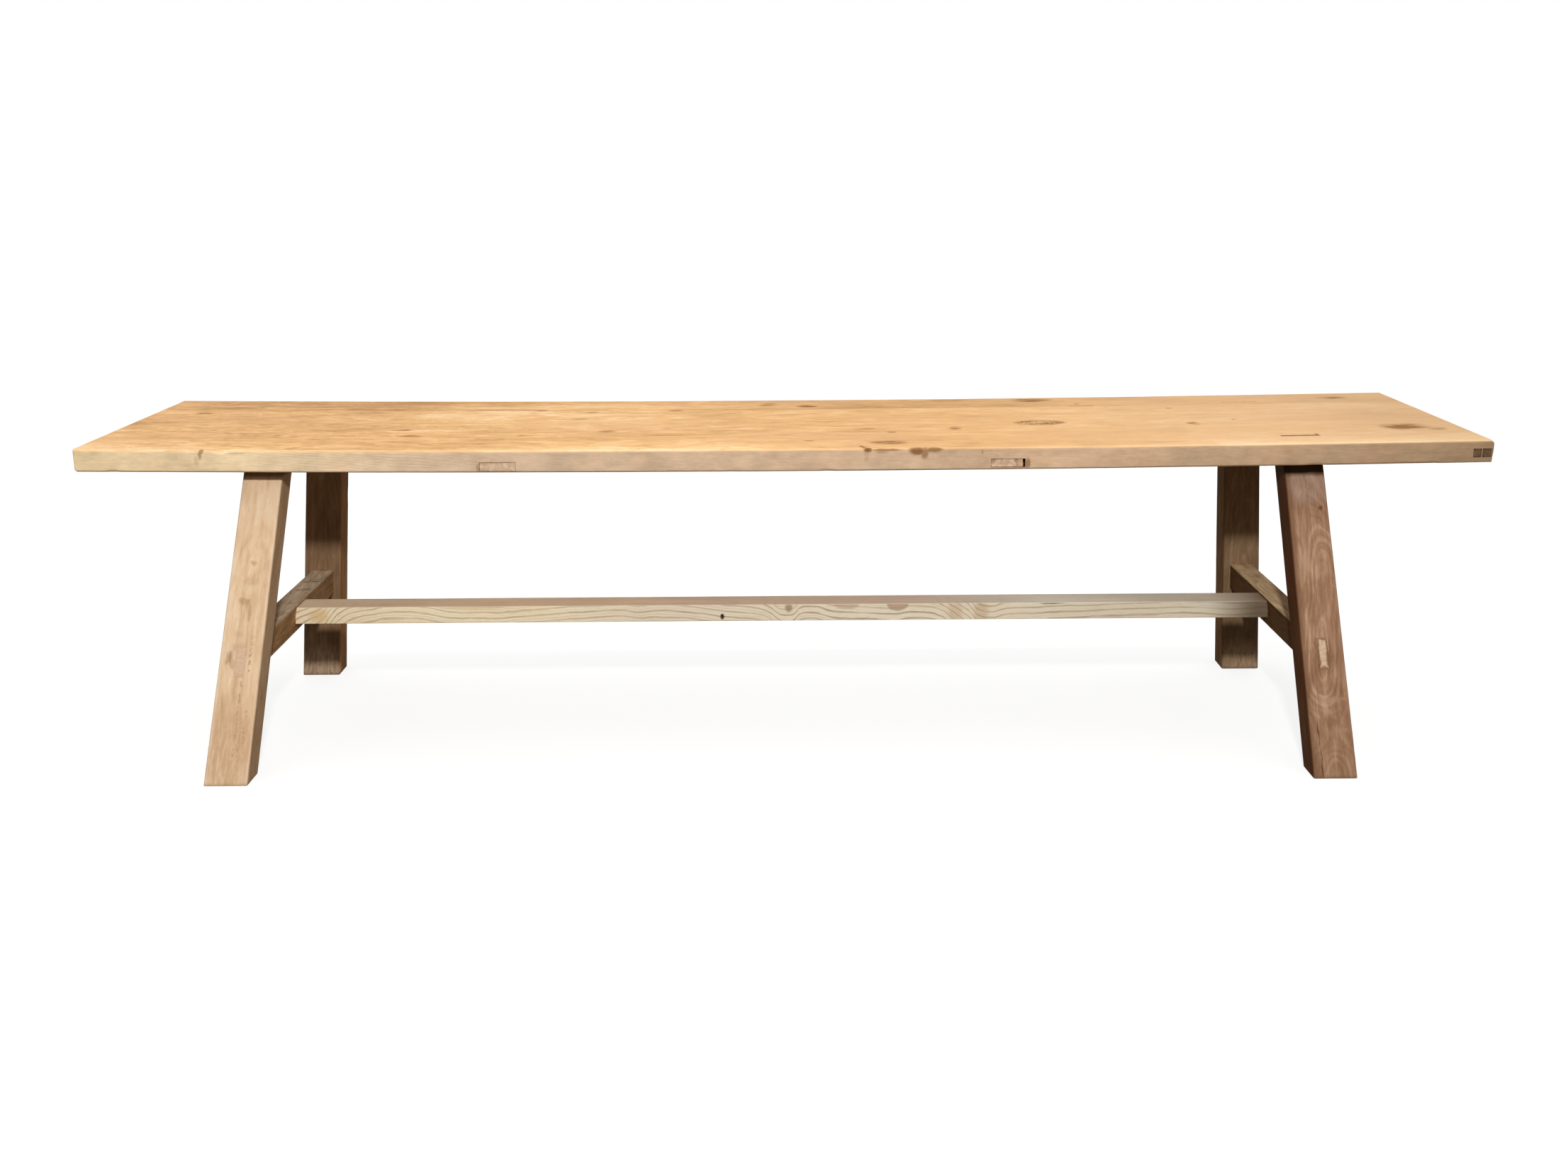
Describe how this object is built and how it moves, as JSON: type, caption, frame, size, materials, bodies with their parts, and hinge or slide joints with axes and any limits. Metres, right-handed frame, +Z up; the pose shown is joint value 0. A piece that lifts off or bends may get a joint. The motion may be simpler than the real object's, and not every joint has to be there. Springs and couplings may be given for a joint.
{
  "type": "wooden bench",
  "caption": "Long plank-topped wooden bench on splayed legs, with cross rails and a low stretcher between the leg pairs.",
  "frame": {"origin": "centre of the footprint on the floor, under the middle of the seat", "axes": "+X along the seat, +Z up, and -Y is the front, the long edge that holds the plugs"},
  "size_m": [1.85, 0.514, 0.45],
  "materials": {
    "seat_elm": "oiled, worn smooth",
    "tenon_elm": "bare, sawn",
    "leg_elm_pale": "planed, worn",
    "leg_elm_brown": "planed, worn",
    "rail_elm": "planed, worn",
    "stretcher_elm": "planed, bold grain",
    "plug_elm": "end grain, worn"
  },
  "bodies": {
    "root": {"seat_board_front": "seat_elm", "seat_board_rear": "seat_elm", "seat_loose_tenon_1": "tenon_elm", "seat_loose_tenon_2": "tenon_elm", "seat_loose_tenon_3": "tenon_elm", "seat_loose_tenon_4": "tenon_elm", "seat_loose_tenon_5": "tenon_elm", "seat_loose_tenon_6": "tenon_elm", "seat_loose_tenon_7": "tenon_elm", "leg_front_left": "leg_elm_pale", "leg_back_left": "leg_elm_pale", "leg_front_right": "leg_elm_brown", "leg_back_right": "leg_elm_brown", "rail_left": "rail_elm", "rail_right": "rail_elm", "stretcher": "stretcher_elm", "edge_plug_left": "plug_elm", "edge_plug_middle": "plug_elm", "edge_plug_right_inner": "plug_elm", "edge_plug_right_outer": "plug_elm"}
  },
  "joints": []
}
